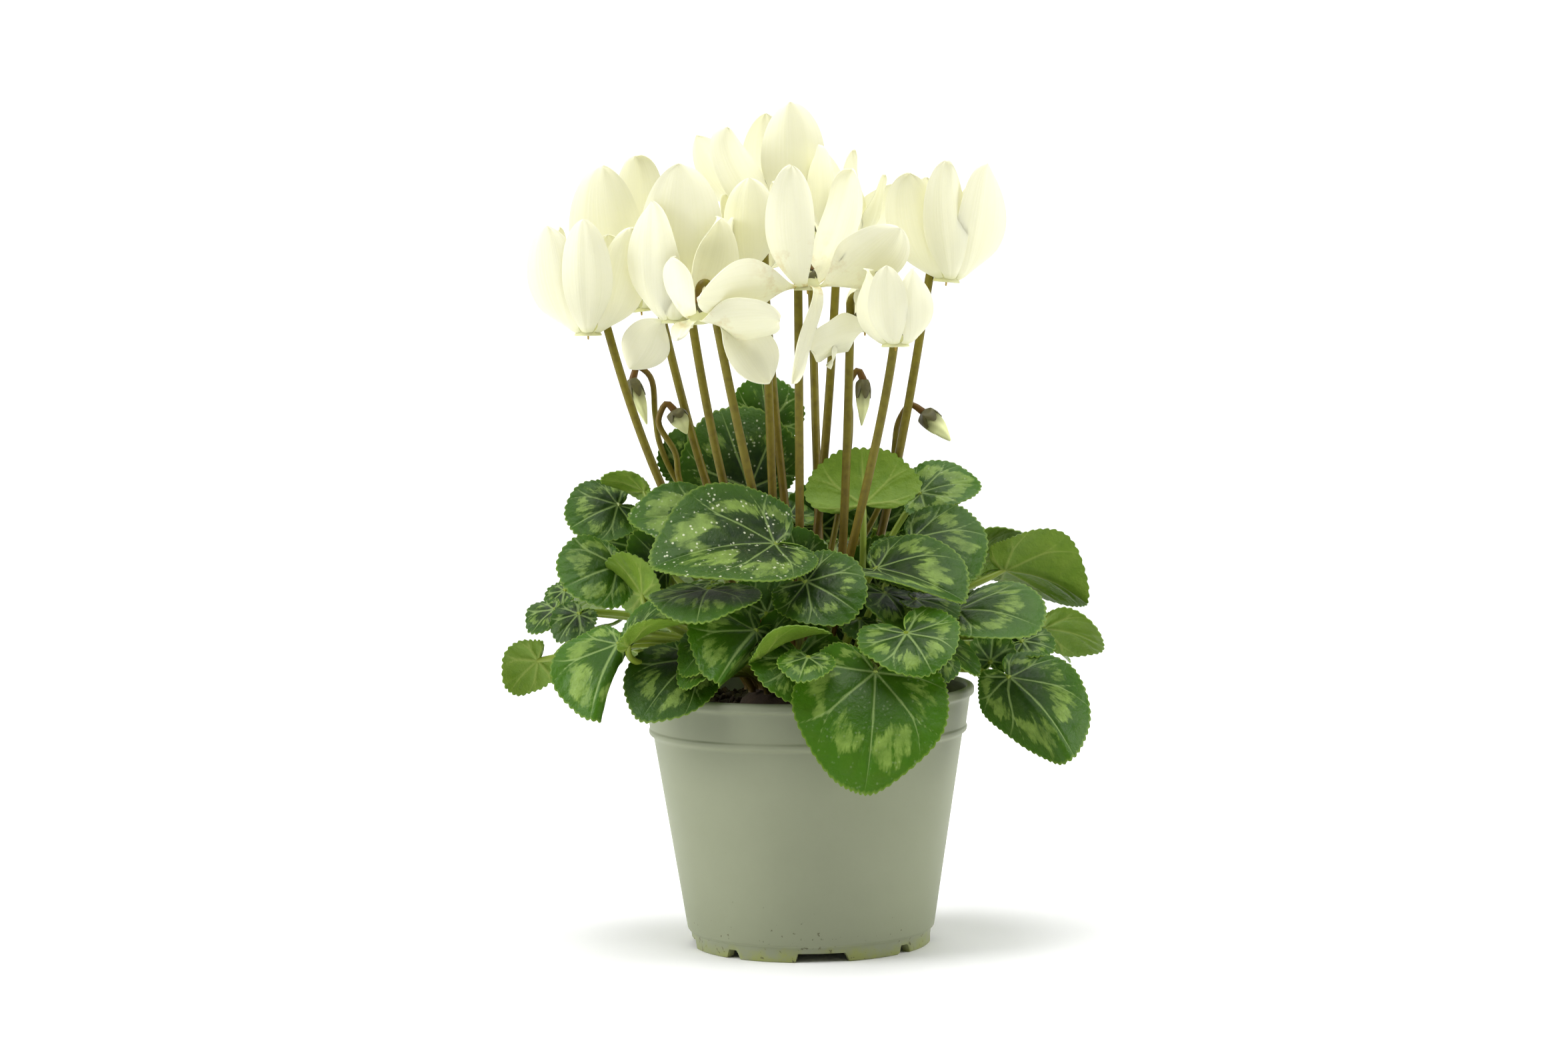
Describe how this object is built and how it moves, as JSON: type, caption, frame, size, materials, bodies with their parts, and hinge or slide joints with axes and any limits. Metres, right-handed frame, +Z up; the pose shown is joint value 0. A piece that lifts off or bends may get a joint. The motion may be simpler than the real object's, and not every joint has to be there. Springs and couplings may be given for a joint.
{
  "type": "potted cyclamen",
  "caption": "Potted cyclamen: white flowers with swept-back petals on hooked stalks over silver-marked heart-shaped leaves, in a tapered plastic nursery pot with a lip and a notched foot.",
  "frame": {"origin": "centre of the bounding box in plan, at the underside of the pot's foot ring", "axes": "+Z up along the pot's axis; -Y towards the side with the largest leaf hanging over the rim; +X to that viewer's right"},
  "size_m": [0.2147, 0.1556, 0.3031],
  "materials": {
    "moulded_pot_plastic": "matte grey-green moulded polypropylene",
    "peat_compost": "crumbly dark peat compost",
    "tuber_skin": "dull corky skin",
    "leaf_green": "dark green leaf with silver-green marbling, soft sheen",
    "stem_olive": "olive brown fleshy stalk, soft sheen",
    "petal_white": "creamy white petal, velvety",
    "bud_green": "pale green closed bud on an olive stem"
  },
  "bodies": {
    "root": {"bud_01": "bud_green", "bud_02": "bud_green", "bud_03": "bud_green", "bud_04": "bud_green", "corolla_01": "petal_white", "corolla_02": "petal_white", "corolla_03": "petal_white", "corolla_04": "petal_white", "corolla_05": "petal_white", "corolla_06": "petal_white", "corolla_07": "petal_white", "corolla_08": "petal_white", "corolla_09": "petal_white", "corolla_10": "petal_white", "corolla_11": "petal_white", "corolla_12": "petal_white", "flower_stalk_01": "stem_olive", "flower_stalk_02": "stem_olive", "flower_stalk_03": "stem_olive", "flower_stalk_04": "stem_olive", "flower_stalk_05": "stem_olive", "flower_stalk_06": "stem_olive", "flower_stalk_07": "stem_olive", "flower_stalk_08": "stem_olive", "flower_stalk_09": "stem_olive", "flower_stalk_10": "stem_olive", "flower_stalk_11": "stem_olive", "flower_stalk_12": "stem_olive", "leaf_01": "leaf_green", "leaf_02": "leaf_green", "leaf_03": "leaf_green", "leaf_04": "leaf_green", "leaf_05": "leaf_green", "leaf_06": "leaf_green", "leaf_07": "leaf_green", "leaf_08": "leaf_green", "leaf_09": "leaf_green", "leaf_10": "leaf_green", "leaf_11": "leaf_green", "leaf_12": "leaf_green", "leaf_13": "leaf_green", "leaf_14": "leaf_green", "leaf_15": "leaf_green", "leaf_16": "leaf_green", "leaf_17": "leaf_green", "leaf_18": "leaf_green", "leaf_19": "leaf_green", "leaf_20": "leaf_green", "leaf_21": "leaf_green", "leaf_22": "leaf_green", "leaf_23": "leaf_green", "leaf_24": "leaf_green", "leaf_25": "leaf_green", "leaf_26": "leaf_green", "leaf_27": "leaf_green", "leaf_28": "leaf_green", "leaf_29": "leaf_green", "pot": "moulded_pot_plastic", "potting_soil": "peat_compost", "tuber": "tuber_skin"}
  },
  "joints": []
}
